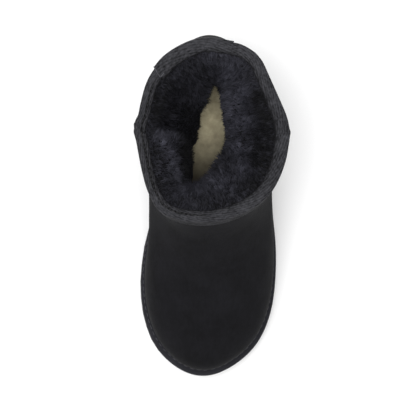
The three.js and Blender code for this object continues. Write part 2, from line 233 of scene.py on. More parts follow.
def brushedSuede():
    look = suedeLook
    material, shader, add = newMaterial("brushedSuede", Roughness=0.96, Specular_IOR_Level=0.12,
                                        Sheen_Weight=0.005, Sheen_Roughness=0.6, Sheen_Tint="#a8a8a4")
    place = add("TexCoord").outputs["Object"]
    patches = add("TexNoise", {"Vector": place, "Scale": 1 / look["patch"], "Detail": 4, "Roughness": 0.6})
    stroke = add("Mapping", {"Vector": place, "Scale": look["stroke"]})
    grain = add("TexNoise", {"Vector": stroke, "Scale": 1 / look["grain"], "Detail": 5, "Roughness": 0.7})
    nap = add("TexNoise", {"Vector": place, "Scale": 1 / look["nap"], "Detail": 3, "Roughness": 0.75})
    weighed = add("Math", {"operation": "MULTIPLY", 0: patches, 1: look["patchShare"]})
    blend = add("Math", {"operation": "MULTIPLY_ADD", 0: grain, 1: look["grainShare"], 2: weighed})
    tone = add("MapRange", {"Value": blend, "From Min": look["toneFrom"], "From Max": look["toneTo"]})
    paint(add, shader, look["dark"], look["light"], tone)
    low = bumpFrom(add, shader, grain, 0.35, 0.5 * mm)
    bumpFrom(add, shader, nap, 0.5, 0.25 * mm, low)
    return material


# Woven tape: fine ribs nearly along it, heathered yarn, its crown painted lighter than its edges as painted
# light from above, with painted shade at the edges.
# The ribs are drawn about twice as coarse as they are, to show from above
tapeLook = {
    "dark": "#0b0b0d", "light": "#424246", "rib": 1.5 * mm, "ribLean": 80, "patch": 9 * mm,
    "thread": 1.3 * mm, "stretch": 0.45, "toneFrom": 1.38, "toneTo": 2.5,
    "shares": (1.9, 0.28, 0.8, 0.3),  # of the yarn, the ribs, the worn patches and the crown's painted light
    # the crown's painted light, lighter over the top with painted shade towards the edges: reaches over the top
    # where it starts and is full, from the outer and the inner side
    "paintedCrownFades": [(-4 * mm, 2.5 * mm), (9.5 * mm, 5 * mm)],
    # the back, the outer side and the front are painted lighter, as painted light: axis, start, full and how
    # much lighter
    "paintedLit": [(1, 85 * mm, 125 * mm, 0.16), (0, 15 * mm, 55 * mm, 0.02), (1, 12 * mm, -20 * mm, 0.16)],
    # the stitched groove lies in its own shade: its reach, half its width, how much darker
    "hemAt": 5.42 * mm, "hemShade": 1.1 * mm, "hemDark": -0.6,
    # it holds on the inner side, before the lap: axis, start and full
    "hemHolds": [(0, -2 * mm, -12 * mm), (1, 94 * mm, 88 * mm)],
}


def ribbedTape():
    look = tapeLook
    material, shader, add = newMaterial("ribbedTape", Roughness=0.9, Specular_IOR_Level=0.15,
                                        Sheen_Weight=0.01, Sheen_Roughness=0.5, Sheen_Tint="#b4b4bc")
    along = add("UVMap", {"uv_map": "along"}).outputs[0]
    across = add("SeparateXYZ", {0: along}).outputs[1]
    spot = add("SeparateXYZ", {0: add("TexCoord").outputs["Object"]})
    lean = add("Mapping", {"Vector": along, "Rotation": (0, 0, math.radians(look["ribLean"]))})
    ribs = add("TexWave", {"Vector": lean, "Scale": math.pi / 10 / look["rib"], "Distortion": 2.6,
                           "Detail": 2, "Detail Scale": 1.5}).outputs["Fac"]
    drawn = add("Mapping", {"Vector": along, "Scale": (look["stretch"], 1, 1)})
    yarn = add("TexNoise", {"Vector": drawn, "Scale": 1 / look["thread"], "Detail": 3, "Roughness": 0.7})
    worn = add("TexNoise", {"Vector": along, "Scale": 1 / look["patch"], "Detail": 3})
    # painted light and shade across the tape: lighter over its crown, darker towards its edges
    crown, hemmed = 1, 1
    for start, full in look["paintedCrownFades"]:
        fade = add("MapRange", {"interpolation_type": "SMOOTHSTEP", "Value": across,
                                "From Min": start, "From Max": full})
        crown = add("Math", {"operation": "MULTIPLY", 0: crown, 1: fade})
    for axis, start, full in look["hemHolds"]:
        fade = add("MapRange", {"Value": spot.outputs[axis], "From Min": start, "From Max": full})
        hemmed = add("Math", {"operation": "MULTIPLY", 0: hemmed, 1: fade})
    fromHem = add("Math", {"operation": "SUBTRACT", 0: across, 1: look["hemAt"]})
    nearHem = add("Math", {"operation": "ABSOLUTE", 0: fromHem})
    shade = add("MapRange", {"Value": nearHem, "From Max": look["hemShade"],
                             "To Min": look["hemDark"], "To Max": 0})
    layers = [*zip((yarn, ribs, worn, crown), look["shares"]), (shade, hemmed)]
    # painted light: the tape lighter at the back, the outer side and the front
    for axis, start, full, more in look["paintedLit"]:
        paintedLit = {"Value": spot.outputs[axis], "From Min": start, "From Max": full, "To Max": more}
        layers.append((add("MapRange", paintedLit), 1))
    total = 0
    for layer, weight in layers:
        total = add("Math", {"operation": "MULTIPLY_ADD", 0: layer, 1: weight, 2: total})
    tone = add("MapRange", {"Value": total, "From Min": look["toneFrom"], "From Max": look["toneTo"]})
    paint(add, shader, look["dark"], look["light"], tone)
    low = bumpFrom(add, shader, ribs, 0.35, 0.25 * mm)
    bumpFrom(add, shader, yarn, 0.4, 0.3 * mm, low)
    return material


# Foam platform wrapped in dark cloth: bluish charcoal, its fine plain weave drawn coarser than it is
wrapLook = {"dark": "#19191d", "light": "#29292e", "weave": 1.1 * mm, "patch": 14 * mm}


def wrappedCloth():
    material, shader, add = newMaterial("wrappedCloth", Roughness=0.88, Specular_IOR_Level=0.2,
                                        Sheen_Weight=0.04, Sheen_Roughness=0.5)
    place = add("TexCoord").outputs["Object"]
    wave = {"Vector": place, "Scale": math.pi / 10 / wrapLook["weave"], "Distortion": 0.6}
    x, y, z = (add("TexWave", {**wave, "bands_direction": way}).outputs["Fac"] for way in "XYZ")
    cross = add("Math", {"operation": "MAXIMUM", 0: x, 1: y})
    weave = add("Math", {"operation": "MULTIPLY", 0: cross, 1: z})
    cloud = add("TexNoise", {"Vector": place, "Scale": 1 / wrapLook["patch"], "Detail": 4})
    paint(add, shader, wrapLook["dark"], wrapLook["light"], cloud)
    bumpFrom(add, shader, weave, 0.4, 0.25 * mm)
    return material


# Moulded sole rubber: matt black with a faint moulding texture and dusty patches
rubberLook = {"dark": "#161618", "light": "#242427", "texture": 0.8 * mm, "patch": 18 * mm}


def mouldedRubber():
    material, shader, add = newMaterial("mouldedRubber", Roughness=0.62, IOR=1.52, Specular_IOR_Level=0.4)
    place = add("TexCoord").outputs["Object"]
    cloud = add("TexNoise", {"Vector": place, "Scale": 1 / rubberLook["patch"], "Detail": 5})
    pebble = add("TexVoronoi", {"Vector": place, "Scale": 1 / rubberLook["texture"]})
    paint(add, shader, rubberLook["dark"], rubberLook["light"], cloud)
    bumpFrom(add, shader, pebble.outputs["Distance"], 0.25, 0.15 * mm)
    return material


# Wool cloth on the footbed: cream, felted, a little fuzzy, with painted shade darkening it towards the toes,
# deep in the boot
insoleLook = {
    "dark": "#968c73", "light": "#c5bc9c", "felt": 1.2 * mm, "patch": 9 * mm,
    "deep": "#37322b", "deepTo": 18 * mm, "unshadedFrom": 70 * mm,
}


def feltedWool():
    look = insoleLook
    material, shader, add = newMaterial("feltedWool", Roughness=0.95, Specular_IOR_Level=0.15,
                                        Sheen_Weight=0.2, Sheen_Roughness=0.6)
    place = add("TexCoord").outputs["Object"]
    cloud = add("TexNoise", {"Vector": place, "Scale": 1 / look["patch"], "Detail": 5, "Roughness": 0.65})
    felt = add("TexNoise", {"Vector": place, "Scale": 1 / look["felt"], "Detail": 4, "Roughness": 0.7})
    spread = add("MapRange", {"Value": cloud, "From Min": 0.3, "From Max": 0.7})
    clear = add("Mix", {"data_type": "RGBA", 0: spread, 6: look["dark"], 7: look["light"]}).outputs[2]
    # painted shade: darker towards the toes, deep in the boot under the front wall
    length = add("SeparateXYZ", {0: place}).outputs[1]
    seen = add("MapRange", {"Value": length, "From Min": look["deepTo"], "From Max": look["unshadedFrom"]})
    paint(add, shader, look["deep"], clear, seen)
    bumpFrom(add, shader, felt, 0.3, 0.3 * mm)
    return material


# Dyed wool pile: blue-black, each lock its own tone, lighter at the tips; the strands' tones also carry painted
# light and shade
pileLook = {"root": "#08080a", "dark": "#0b0b0b", "light": "#5a5a66", "curl": 3 * mm}


def dyedWool(name, hairs):
    material, shader, add = newMaterial(name, Roughness=0.8, Specular_IOR_Level=0.2,
                                        Sheen_Weight=0.09, Sheen_Roughness=0.45, Sheen_Tint="#9c9cb0")
    if hairs:
        # the strands' tone attribute carries painted light and shade besides each lock's own tone
        tone = add("Attribute", {"attribute_name": "tone"}).outputs["Fac"]
        paint(add, shader, pileLook["dark"], pileLook["light"], tone)
        return material
    place = add("TexCoord").outputs["Object"]
    curl = add("TexNoise", {"Vector": place, "Scale": 1 / pileLook["curl"], "Detail": 5, "Distortion": 1.5})
    paint(add, shader, pileLook["root"], pileLook["dark"], curl)
    bumpFrom(add, shader, curl, 0.9, 1.2 * mm)
    return material


# Waxed sewing thread, a little glossier than what it holds: the light and dark tone of each
threadTones = {
    "darkThread": ("#2c2c31", "#1d1d20"), "rimThread": ("#4a4a50", "#1d1d20"),
    "blackThread": ("#060607", "#030304"), "weltThread": ("#48484d", "#303034"),
}


def sewingThread(name, light, dark):
    material, shader, add = newMaterial(name, Roughness=0.6, Specular_IOR_Level=0.35)
    place = add("TexCoord").outputs["Object"]
    ply = add("TexNoise", {"Vector": place, "Scale": 1 / (0.6 * mm), "Detail": 2})
    paint(add, shader, dark, light, ply)
    bumpFrom(add, shader, ply, 0.4, 0.1 * mm)
    return material


suede = brushedSuede()
tape = ribbedTape()
wrap = wrappedCloth()
rubber = mouldedRubber()
wool = feltedWool()
threads = {name: sewingThread(name, *tones) for name, tones in threadTones.items()}
print("materials ready")


# The closed loops that bound the faces at a wall's top or bottom end, the longest first
wallEnd = {"facing": 0.62, "topOver": 140 * mm, "footUnder": 40 * mm, "sameSpot": 0.05 * mm}


def edgeLoops(node, top):
    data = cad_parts[node].data
    uses, spots = {}, {}
    for face in data.polygons:
        facing = face.normal.z if top else -face.normal.z
        beyond = face.center.z < wallEnd["topOver"] if top else face.center.z > wallEnd["footUnder"]
        if facing < wallEnd["facing"] or beyond:
            continue
        keys = []
        for k in face.vertices:
            spot = data.vertices[k].co
            key = tuple(round(c / wallEnd["sameSpot"]) for c in spot)
            spots[key] = tuple(spot)
            keys.append(key)
        for a, b in zip(keys, keys[1:] + keys[:1]):
            uses[frozenset((a, b))] = uses.get(frozenset((a, b)), 0) + 1
    nextTo = {}
    for pair, count in uses.items():
        if count == 1 and len(pair) == 2:
            a, b = pair
            nextTo.setdefault(a, []).append(b)
            nextTo.setdefault(b, []).append(a)
    loops, seen = [], set()
    for first in nextTo:
        if first in seen:
            continue
        chain, here = [], first
        while here is not None:
            seen.add(here)
            chain.append(spots[here])
            here = next((k for k in nextTo[here] if k not in seen), None)
        loops.append(np.array(chain))
    loops.sort(key=lambda chain: -len(chain) * np.ptp(chain[:, 0]))
    return loops


# The same loop with even steps, starting at the back and going round over the outer side
def evenLoop(loop, count):
    if np.sum(loop[:, 0] * np.roll(loop[:, 1], -1) - loop[:, 1] * np.roll(loop[:, 0], -1)) > 0:
        loop = loop[::-1]
    loop = np.roll(loop, -int(np.argmax(loop[:, 1] - np.abs(loop[:, 0]))), axis=0)
    loop = np.vstack([loop, loop[:1]])
    length = np.concatenate([[0], np.cumsum(np.linalg.norm(np.diff(loop, axis=0), axis=1))])
    even = np.linspace(0, length[-1], count, endpoint=False)
    return np.stack([np.interp(even, length, loop[:, k]) for k in range(3)], axis=1), length[-1]


# A loop's way on and its level way out, at each of its points
def waysOf(loop):
    onward = unit(np.roll(loop, -1, axis=0) - np.roll(loop, 1, axis=0))
    return onward, unit(np.stack([-onward[:, 1], onward[:, 0], np.zeros(len(loop))], axis=1))


# Upper: the imported wall made smooth, then its listed creases laid in
upperLook = {
    # a crease's two ends, its width and its depth, mm; a ridge has a negative depth
    "creases": [
        ((-34, -16, 104), (30, -20, 101), 9, 1.3),
        ((-30, -27, 92), (26, -30, 90), 8, -0.8),
        ((-46, 8, 96), (-50, 46, 74), 10, 1.4),
        ((-49, 18, 84), (-47, 58, 58), 9, -0.8),
        ((42, 8, 98), (46, 46, 78), 10, 1.4),
        ((46, 20, 86), (43, 60, 60), 9, -0.8),
        ((-44, 96, 104), (-10, 128, 98), 11, 1.2),
        ((38, 96, 108), (6, 128, 98), 11, 1.2),
        ((-30, -62, 74), (28, -58, 74), 16, 0.7),
        ((-40, -92, 46), (-20, -108, 52), 14, 0.7),
        ((36, -84, 48), (18, -104, 54), 14, 0.6),
    ],
    "sway": 0.45 * mm, "swaySize": 60 * mm,  # slow unevenness of the skin
    "foot": (17 * mm, 30 * mm), "top": (136 * mm, 146 * mm),  # both fade out towards the sole and the collar
    "spine": (-70 * mm, 60 * mm, 40 * mm),  # a line inside the boot, from toe to heel, and its height
}


# How far points lie from the line between two spots, and where along it
def distanceToLine(points, start, end):
    start, end = np.array(start) * mm, np.array(end) * mm
    line = end - start
    share = np.clip((points - start) @ line / (line @ line), 0, 1)
    return np.linalg.norm(points - start - share[:, None] * line, axis=1), share


# The front of the collar has settled back a little, more so on the outer side
def settleCollar(points):
    settled = np.array(points, dtype=float)
    high = easeIn(85 * mm, 150 * mm, settled[:, 2])
    front = 1 - easeIn(-5 * mm, 50 * mm, settled[:, 1])
    outer = easeIn(-5 * mm, 40 * mm, settled[:, 0])
    settled[:, 1] += high * front * (0.8 + 1.6 * outer) * mm
    return settled


def makeUpper():
    piece = copyOfNode("upper", "suedeUpper")
    creaseSharpEdges(piece, 48)
    applyModifier(piece, "SUBSURF", levels=2, render_levels=2)
    points, normals = readShape(piece)
    push = slowWave(points, upperLook["swaySize"], 5) * upperLook["sway"]
    for start, end, width, depth in upperLook["creases"]:
        away, share = distanceToLine(points, start, end)
        fade = np.clip(np.sin(math.pi * share), 0.15, 1)
        push -= depth * mm * fade * np.exp(-(away / (width * mm)) ** 2)
    push *= easeIn(*upperLook["foot"], points[:, 2]) * (1 - easeIn(*upperLook["top"], points[:, 2]))
    toe, heel, height = upperLook["spine"]
    spine = np.stack([points[:, 0] * 0, np.clip(points[:, 1], toe, heel), points[:, 2] * 0 + height], axis=1)
    push[np.einsum("ij,ij->i", normals, points - spine) <= 0] = 0  # the wall's inner face stays
    writePoints(piece, settleCollar(points + normals * push[:, None]))
    return keepPiece(piece, 40, suede, "upper")


upper = makeUpper()
print("upper ready", len(upper.data.polygons))


# Rim: the wrapped platform, rounded, with the wrap's edge turned in under the upper
def makeRim():
    piece = copyOfNode("midsole", "wrappedRim")
    applyModifier(piece, "SUBSURF", levels=2, render_levels=2)
    return keepPiece(piece, 60, wrap, "midsole")


# Outsole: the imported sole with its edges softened
def makeOutsole():
    piece = copyOfNode("outsole", "rubberOutsole", asQuads=False)
    applyModifier(piece, "BEVEL", width=0.35 * mm, segments=2, limit_method="ANGLE",
                  angle_limit=math.radians(38))
    keepPiece(piece, 35, rubber, "outsole")


# Insole: a little uneven on top, trodden down where the heel stands, mm
insoleShape = {"uneven": 0.35, "unevenSize": 24, "tread": 0.9, "heelAt": (0, 95), "heelSize": (17, 24)}


def makeInsole():
    shape = insoleShape
    piece = copyOfNode("insole", "woolInsole")
    applyModifier(piece, "SUBSURF", levels=3, render_levels=3)
    points, normals = readShape(piece)
    away = (points[:, :2] - np.array(shape["heelAt"]) * mm) / (np.array(shape["heelSize"]) * mm)
    push = slowWave(points, shape["unevenSize"] * mm, 11) * shape["uneven"] * mm
    push -= shape["tread"] * mm * np.exp(-(away ** 2).sum(axis=1))
    writePoints(piece, points + normals * (push * easeIn(0.5, 0.9, normals[:, 2]))[:, None])
    keepPiece(piece, 60, wool, "insole")


rim = makeRim()
makeOutsole()
makeInsole()
print("sole and insole ready")


# Collar tape: one folded strip swept along the top edge, over the suede and the pressed pile behind it
tapeSize = {
    "count": 480, "outerLeg": 9.6 * mm, "innerLeg": 4.6 * mm, "thick": 1.2 * mm, "gap": 0.25 * mm,
    "top": 8.6 * mm,  # nominal width over the top, by which its pattern is measured
    # width over the top at places round the collar, degrees from the back over the outer side, mm
    "roll": [(0, 9.4), (30, 9.0), (60, 10.0), (90, 11.0), (130, 10.0), (180, 8.6), (220, 8.4), (270, 8.6),
             (300, 8.4), (360, 9.4)],
    "lapRoll": [(0, 9.8), (20, 9.6), (180, 9.6), (300, 9.9), (312, 10.6), (320, 12.0), (340, 11.4),
                (360, 9.8)],
    # how far the outer leg stands off the suede there, mm
    "flare": [(0, 0.1), (8, 0.3), (17, 1.9), (24, 1.6), (34, 0.8), (45, 0.4), (60, 0.8), (72, 1.4), (80, 1.6),
              (86, 1.3), (91, 0.2), (100, 0.4), (140, 0.4), (190, 0.3), (255, 0.4), (267, 0), (271, 0.5),
              (277, 3.2), (279, 1.8), (281, 0.7), (290, 1.2), (304, 1.2), (312, 0.6), (318, -0.3),
              (338, -0.3), (350, 0), (360, 0.1)],
    "roundOf": 56 * mm,  # the y about which those degrees turn
    # a fold across the tape where the inner seam's lap ends: its place, how far it runs forward as it
    # crosses, over what lengths the tape rises before it and falls after it, its depth, width and step
    "foldAt": (-56, 62), "foldRun": 8 * mm, "foldRise": 14 * mm, "foldFall": 1.2 * mm,
    "foldDepth": 1.5 * mm, "foldWidth": 1.1 * mm, "foldStep": 1.0 * mm,
    "hemShare": 0.63, "hemDepth": 0.8 * mm,  # the stitched groove, and its share of the way over the top
    "crown": 1.3 * mm, "pucker": 0.55 * mm, "puckerPitch": 8.5 * mm,
    "lapFrom": (-42, 102), "lapTo": (15, 121), "lapSlant": -4.2 * mm,  # its lapped length and its slant
}
outerLegShares = (1.0, 0.8, 0.55, 0.3, 0.1)
topShares = (0.05, 0.2, 0.38, 0.5, 0.56, 0.6, tapeSize["hemShare"], 0.66, 0.72, 0.84, 0.96)
innerLegShares = (0.3, 0.65, 1.0)

outerEdge, collarLength = evenLoop(settleCollar(edgeLoops("upper", True)[0]), tapeSize["count"])
outerEdge = smoothLoop(outerEdge, 4)
edgeStep = collarLength / tapeSize["count"]
edgeRun = np.arange(tapeSize["count"]) * edgeStep
alongWay, outWay = waysOf(outerEdge)
outWay = unit(smoothLoop(outWay, 14))
upperTree = treeOf(upper)


def edgeIndex(spot):
    return int(np.linalg.norm(outerEdge[:, :2] - np.array(spot) * mm, axis=1).argmin())


# The outer face of the wall, a distance below its top edge, lifted clear of it
def wallRow(down, lift):
    row = []
    for spot, out in zip(outerEdge, outWay):
        below = spot - down * up
        hit, _, _, _ = upperTree.ray_cast(Vector(below + out * 6 * mm), Vector(-out))
        row.append((np.array(hit) if hit is not None else below) + out * lift)
    return smoothLoop(np.array(row), 3)


def placedRound(pairs):
    turns = np.degrees(np.arctan2(outerEdge[:, 0], outerEdge[:, 1] - tapeSize["roundOf"])) % 360
    return smoothLoop((np.interp(turns, *zip(*pairs)) * mm)[:, None], 12)


# The fold over the inner seam: a groove, with the tape before it a little raised
def seamFold(reach):
    run = tapeSize["foldRun"] * np.clip(reach / tapeSize["top"], 0, 1)
    ahead = edgeRun - edgeRun[edgeIndex(tapeSize["foldAt"])] + run
    raised = easeIn(-tapeSize["foldRise"], 0, ahead) * (1 - easeIn(0, tapeSize["foldFall"], ahead))
    groove = np.exp(-((ahead - tapeSize["foldFall"] / 2) / tapeSize["foldWidth"]) ** 2)
    return (tapeSize["foldStep"] * raised - tapeSize["foldDepth"] * groove)[:, None]


# Rows along the tape, over its skin from the outer leg to the inner one and back behind it, and their reach
def tapeRows(extra, rolls):
    gap, thick = tapeSize["gap"] + extra, tapeSize["thick"]
    wave = edgeRun / tapeSize["puckerPitch"] * 2 * math.pi
    mostAtBack = 0.35 + 0.65 * easeIn(60 * mm, 100 * mm, outerEdge[:, 1])
    pucker = (tapeSize["pucker"] * mostAtBack * np.sin(wave + 1.3 * np.sin(wave * 0.37)))[:, None]
    roll = placedRound(rolls)
    flare = placedRound(tapeSize["flare"]) * outWay
    skin, back, reach = [], [], []
    for share in outerLegShares:
        down = tapeSize["outerLeg"] * share
        lean = flare * (1 - 0.5 * share) + seamFold(0) * 0.6 * outWay
        skin.append(wallRow(down, gap + thick * (0.7 if share == 1 else 1)) + lean)
        back.append(wallRow(down, gap) + lean)
        reach.append(-down)
    start = outerEdge + outWay * (gap + thick) + flare
    calm = smoothLoop(start, 40)
    innerSide = 1 - easeIn(-25 * mm, 15 * mm, outerEdge[:, 0])
    for share in topShares:
        across = tapeSize["top"] * share
        rise = (gap + thick + tapeSize["crown"]) * math.sin(math.pi * (0.12 + 0.76 * share)) ** 0.6
        hem = tapeSize["hemDepth"] * math.exp(-((share - tapeSize["hemShare"]) / 0.045) ** 2)
        rise = rise + seamFold(across) - (hem * (0.35 + 0.65 * innerSide))[:, None]
        base = start + (calm - start) * share + up * pucker * share
        skin.append(base - outWay * roll * share + up * rise)
        back.append(base - outWay * (thick + (roll - 2 * thick) * share) + up * (rise - thick))
        reach.append(across)
    for share in innerLegShares:
        down = tapeSize["innerLeg"] * share
        spot = calm - outWay * (roll + 0.3 * mm * share + pucker * share) - up * down
        skin.append(spot)
        back.append(spot + outWay * thick * (0.7 if share == 1 else 1))
        reach.append(tapeSize["top"] + down)
    return skin + back[::-1], reach + reach[::-1]


# A closed strip through rows of points; an open one is capped at both ends
def sweep(name, rows, lengths, across, closed):
    count, wide = len(rows[0]), len(rows)
    points = np.stack(rows, axis=1).reshape(-1, 3)
    faces = [(i * wide + k, i * wide + (k + 1) % wide, (i + 1) * wide + (k + 1) % wide, (i + 1) * wide + k)
             for i in range(count - 1) for k in range(wide)]
    if not closed:
        faces.append(tuple(range(wide)))
        faces.append(tuple((count - 1) * wide + k for k in reversed(range(wide))))
    piece = meshPiece(name, points, faces, [(u, v) for u in lengths for v in across])
    editMesh(piece, remove_doubles={"threshold": 0.01 * mm}, normals_make_consistent={"inside": False})
    return piece


# The tape, the row along its inner leg's lower edge and the row along its stitched groove
def makeTape():
    rows, across = tapeRows(0, tapeSize["roll"])
    lengths = np.linspace(0, collarLength, tapeSize["count"] + 1)
    piece = sweep("collarTape", [np.vstack([row, row[:1]]) for row in rows], lengths, across, True)
    keepPiece(piece, 50, tape, "collar_binding")
    groove = len(outerLegShares) + topShares.index(tapeSize["hemShare"])
    return piece, rows[len(rows) // 2 - 1], rows[groove]


# The tape's free end lies over its start at the back, cut on a slant at the inner side
def makeTapeEnd():
    rows, across = tapeRows(tapeSize["thick"] * 0.9, tapeSize["lapRoll"])
    first = edgeIndex(tapeSize["lapFrom"])
    steps = (edgeIndex(tapeSize["lapTo"]) - first) % tapeSize["count"]
    cut = []
    for row, reach in zip(rows, across):
        shift = tapeSize["lapSlant"] / edgeStep * reach / tapeSize["top"]
        spots = first + shift + np.arange(steps + 1) * (1 - shift / steps)
        whole = np.floor(spots).astype(int) % tapeSize["count"]
        part = (spots - np.floor(spots))[:, None]
        cut.append(row[whole] * (1 - part) + row[(whole + 1) % tapeSize["count"]] * part)
    piece = sweep("tapeEnd", cut, np.arange(steps + 1) * edgeStep, across, False)
    return keepPiece(piece, 50, tape)


collarTape, tapeHem, hemGroove = makeTape()
tapeEnd = makeTapeEnd()
print("collar tape ready", round(collarLength / mm), "mm round")


# Stitches, mm: the pitch of each row, and one stitch's length, width and height over what it holds
stitchLook = {
    "tapeStitches": {"pitch": 3.4, "length": 2.5, "width": 0.55, "rise": 0.12, "thread": "darkThread"},
    "hemStitches": {"pitch": 3.0, "length": 2.3, "width": 1.3, "rise": 0.1, "thread": "blackThread"},
    "seamStitches": {"pitch": 3.6, "length": 2.6, "width": 0.5, "rise": 0.12, "thread": "darkThread"},
    "rimStitches": {"pitch": 5.2, "length": 3.3, "width": 0.7, "rise": 0.15, "thread": "rimThread"},
}
# one bowed thread: where each ring lies along it, its fatness and its height
stitchRings = [(-0.5, 0.35, -0.3), (-0.28, 0.9, 0.7), (0.28, 0.9, 0.7), (0.5, 0.35, -0.3)]
stitchSides = 6


# Joined threads where rays meet a piece. A probe is the ray's start, its way and the row's way there
def stitchRow(name, onto, probes, farthest=1.0, upright=False, steepest=-2):
    look, tree, sides = stitchLook[name], treeOf(onto), stitchSides
    length, width, rise = look["length"] * mm, look["width"] * mm, look["rise"] * mm
    points, faces = [], []
    for start, ray, way in probes:
        hit, normal, _, _ = tree.ray_cast(Vector(start), Vector(ray), farthest)
        if hit is None or normal.z <= steepest:
            continue
        centre, normal = np.array(hit), up if upright else unit(np.array(normal))
        way = unit(way - normal * (way @ normal))
        side = np.cross(normal, way)
        first = len(points)
        for place, fat, high in stitchRings:
            for turn in np.arange(sides) * 2 * math.pi / sides:
                points.append(centre + way * place * length + side * width / 2 * fat * math.cos(turn)
                              + normal * (rise * high + width * 0.4 * fat * math.sin(turn)))
        for ring in range(first, len(points) - sides, sides):
            faces += [(ring + k, ring + (k + 1) % sides, ring + sides + (k + 1) % sides, ring + sides + k)
                      for k in range(sides)]
        faces.append(tuple(reversed(range(first, first + sides))))
        faces.append(tuple(range(len(points) - sides, len(points))))
    piece = meshPiece(name, points, faces)
    editMesh(piece, normals_make_consistent={"inside": False})
    keepPiece(piece, 60, threads[look["thread"]])


# How many stitches a length takes, and the steps of a loop where they lie
def stitchCount(name, length):
    return int(length / (stitchLook[name]["pitch"] * mm))


def stepsRound(name, length, steps):
    count = stitchCount(name, length)
    return [int(k / count * steps) for k in range(count)]


# Round the collar, near the tape's lower edge
def tapeStitches(down=7.9 * mm, clear=8 * mm):
    places = stepsRound("tapeStitches", collarLength, tapeSize["count"])
    probes = [(outerEdge[i] - down * up + outWay[i] * clear, -outWay[i], alongWay[i]) for i in places]
    stitchRow("tapeStitches", collarTape, probes, farthest=12 * mm)


# Dark stitches in the groove near the tape's inner edge, on the inner side, where the pile leaves them bare
def hemStitches(over=20 * mm, bareUpTo=-5 * mm):
    places = stepsRound("hemStitches", collarLength, tapeSize["count"])
    probes = [(hemGroove[i] + over * up, -up, alongWay[i]) for i in places if hemGroove[i, 0] <= bareUpTo]
    stitchRow("hemStitches", collarTape, probes, upright=True)


# Two rows down each side seam, in the front panel's lap
def seamStitches(foot=(0, 44.5, 24), head=(0, 56.0, 143), rowsAhead=(2.2, 4.8), beside=200 * mm):
    foot, head = np.array(foot) * mm, np.array(head) * mm
    count = stitchCount("seamStitches", np.linalg.norm(head - foot))
    probes = []
    for side in (-1, 1):
        for ahead in rowsAhead:
            for k in range(count):
                spot = foot + (head - foot) * k / count - np.array([0, ahead * mm, 0])
                probes.append((spot + np.array([side * beside, 0, 0]), (-side, 0, 0), head - foot))
    stitchRow("seamStitches", upper, probes)


# Where the upper meets the rim: round the toe and along the sides, longer stitches
def rimStitches(away=1.5 * mm, over=10 * mm, back=20 * mm, steps=700):
    loop, length = evenLoop(edgeLoops("upper", False)[0], steps)
    loop = smoothLoop(loop, 3)
    onward, out = waysOf(loop)
    probes = [(loop[i] + out[i] * away + over * up, -up, onward[i])
              for i in stepsRound("rimStitches", length, steps) if loop[i, 1] <= back]
    stitchRow("rimStitches", rim, probes, steepest=0.3)


# The lapped end's edge is rolled under: a small welt along its cut and a little way along its inner side.
# Where it runs, seen from above, mm
weltMarks = [(-43.0, 103.4), (-41.8, 101.0), (-40.0, 98.0), (-38.2, 95.4), (-37.0, 96.8), (-35.6, 98.6)]


def lapWelt(radius=0.45 * mm, sides=8, count=60, over=300 * mm):
    trees = (treeOf(tapeEnd), treeOf(collarTape))
    marks = np.array(weltMarks) * mm
    steps = np.linspace(0, len(marks) - 1, count)
    spots = []
    for x, y in np.stack([np.interp(steps, np.arange(len(marks)), marks[:, k]) for k in range(2)], axis=1):
        hits = [tree.ray_cast(Vector((x, y, over)), Vector(-up))[0] for tree in trees]
        highs = [hit.z for hit in hits if hit is not None]
        spots.append((x, y, max(highs) if highs else outerEdge[:, 2].max()))
    spots = smoothRun(np.array(spots), 4)
    onward = unit(np.gradient(spots, axis=0))
    side = unit(np.cross(onward, up))
    above = np.cross(side, onward)
    rows = [spots + (side * math.cos(turn) + above * math.sin(turn)) * radius
            for turn in np.arange(sides) * 2 * math.pi / sides]
    piece = sweep("lapWelt", rows, np.linspace(0, 0.03, count), np.linspace(0, 0.003, sides), False)
    keepPiece(piece, 60, threads["weltThread"])


tapeStitches()
hemStitches()
lapWelt()
seamStitches()
rimStitches()
print("stitches ready")


# Fleece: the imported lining, a thick pile wall inside it, and strands standing on that wall. A strand
# stands for a tuft, many times thicker than one hair
fleeceLook = {
    "voxel": 2.2 * mm, "centre": (1.5, 58), "setBack": 2.5 * mm,
    # the gap that the pile leaves over the insole, mm
    "well": [(7, 101), (12, 91), (13.5, 78), (15, 66), (17, 57), (15, 47), (11, 39), (6, 30), (1, 23),
             (-3, 18), (-10, 14), (-18, 17), (-20, 25), (-17, 33), (-9, 42), (-5.5, 50), (-5.5, 64),
             (-2.5, 82), (1, 97)],
    "wellFoot": 30 * mm, "toeFoot": 66 * mm,  # how high the pile wall stops, and how high over the toes
    "tuckOut": 1.6 * mm, "tuckUp": 3.4 * mm,  # how far its top goes out and up behind the tape
    "clear": 1.6 * mm, "thick": (0.8 * mm, 16 * mm),  # its gap to the suede's wall, its least and most thickness
    "turns": 300, "rows": 64, "lump": 1.1 * mm, "lumpSize": 13 * mm,
    "strands": 42500, "length": 6.5 * mm, "root": 0.26 * mm, "clumpArea": 9 * mm * mm, "clumping": 0.45,
    "lean": 0.5, "spread": 0.4, "curl": 0.5 * mm,
    "tone": 0.20, "toneSway": 0.15, "swaySize": 16 * mm, "deepShade": 0.3,  # darker deep down
}
